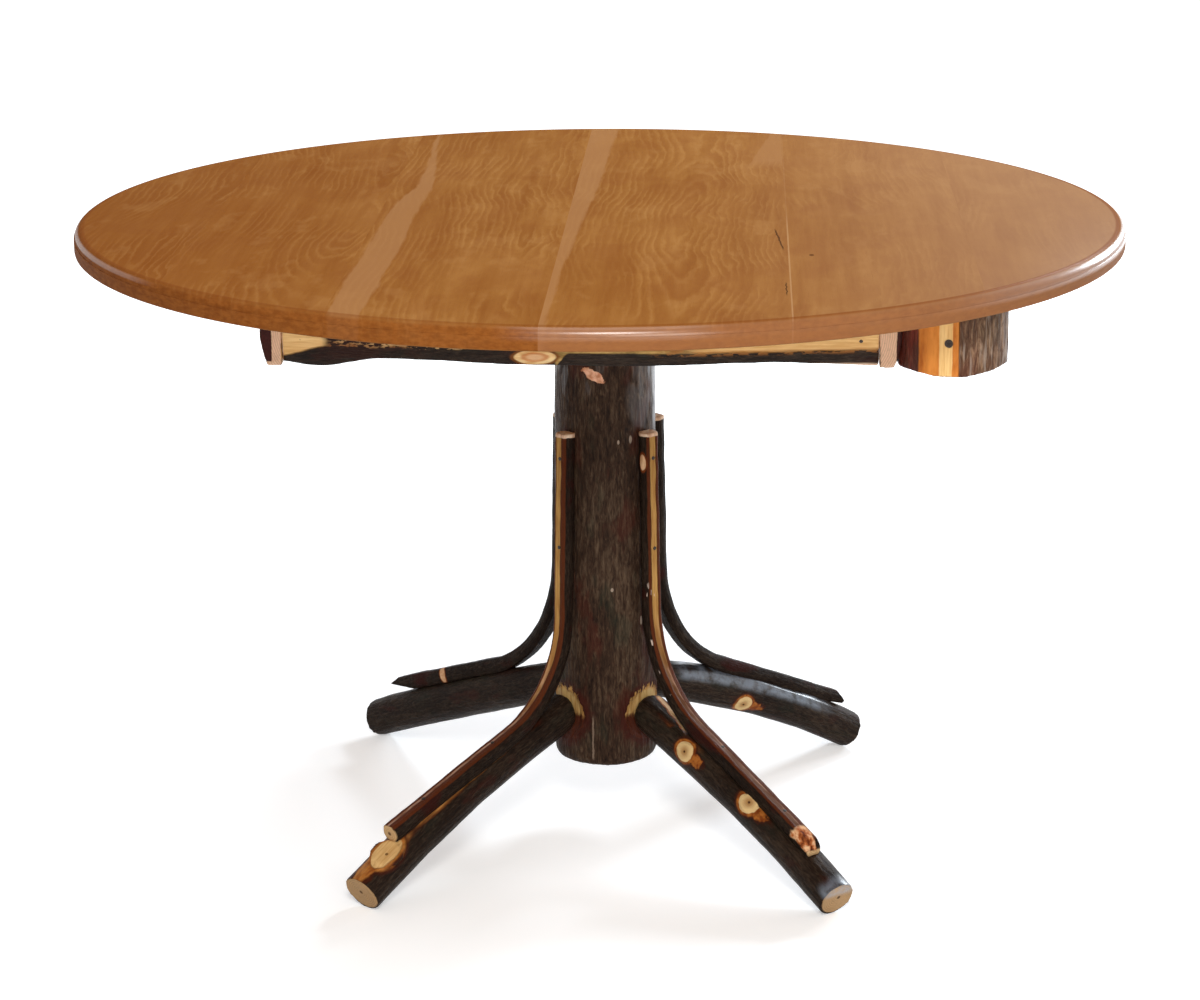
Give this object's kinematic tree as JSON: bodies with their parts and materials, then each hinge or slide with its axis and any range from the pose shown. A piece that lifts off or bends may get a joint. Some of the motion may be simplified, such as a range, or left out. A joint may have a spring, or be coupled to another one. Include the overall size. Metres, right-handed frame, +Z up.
{
  "type": "rustic round pedestal table",
  "caption": "Round board-topped dining table on a bark-on log trunk, with pole legs and bent bark-on braces.",
  "frame": {"origin": "on the floor, straight below the centre of the round top", "axes": "+Z up; -Y to the front of the table, the side with the log block; +X to the right seen from the front; seams of the top run along Y"},
  "size_m": [1.2191, 1.219, 0.7493],
  "materials": {
    "varnished_top": "semi-gloss varnish over straight and cathedral grain",
    "hickory_bark": "dark furrowed bark under clear varnish, pale sawn ends and knots",
    "bent_strip": "dark bark sides, pale shaved face, varnished",
    "slab_bark": "bark-on slab with pale shaved patches, varnished",
    "inner_wood": "plain planed wood",
    "screw_steel": "dulled steel"
  },
  "bodies": {
    "root": {"apron_back": "slab_bark", "apron_front": "slab_bark", "apron_left": "slab_bark", "apron_nails": "screw_steel", "apron_right": "slab_bark", "batten_back": "inner_wood", "batten_front": "inner_wood", "batten_screws": "screw_steel", "brace_back_left": "bent_strip", "brace_back_right": "bent_strip", "brace_front_left": "bent_strip", "brace_front_right": "bent_strip", "brace_nails": "screw_steel", "cleat_screws": "screw_steel", "corner_block_back_left": "inner_wood", "corner_block_back_right": "inner_wood", "corner_block_front_left": "inner_wood", "corner_block_front_right": "inner_wood", "corner_block_screws": "screw_steel", "leg_back_left": "hickory_bark", "leg_back_right": "hickory_bark", "leg_front_left": "hickory_bark", "leg_front_right": "hickory_bark", "log_block": "slab_bark", "log_block_cleat": "inner_wood", "log_block_screw": "screw_steel", "plate_screws": "screw_steel", "tenon_pins": "inner_wood", "top_board_1": "varnished_top", "top_board_2": "varnished_top", "top_board_3": "varnished_top", "top_board_4": "varnished_top", "top_board_5": "varnished_top", "top_board_6": "varnished_top", "top_plate": "inner_wood", "trunk": "hickory_bark", "trunk_lag_screws": "screw_steel"}
  },
  "joints": []
}
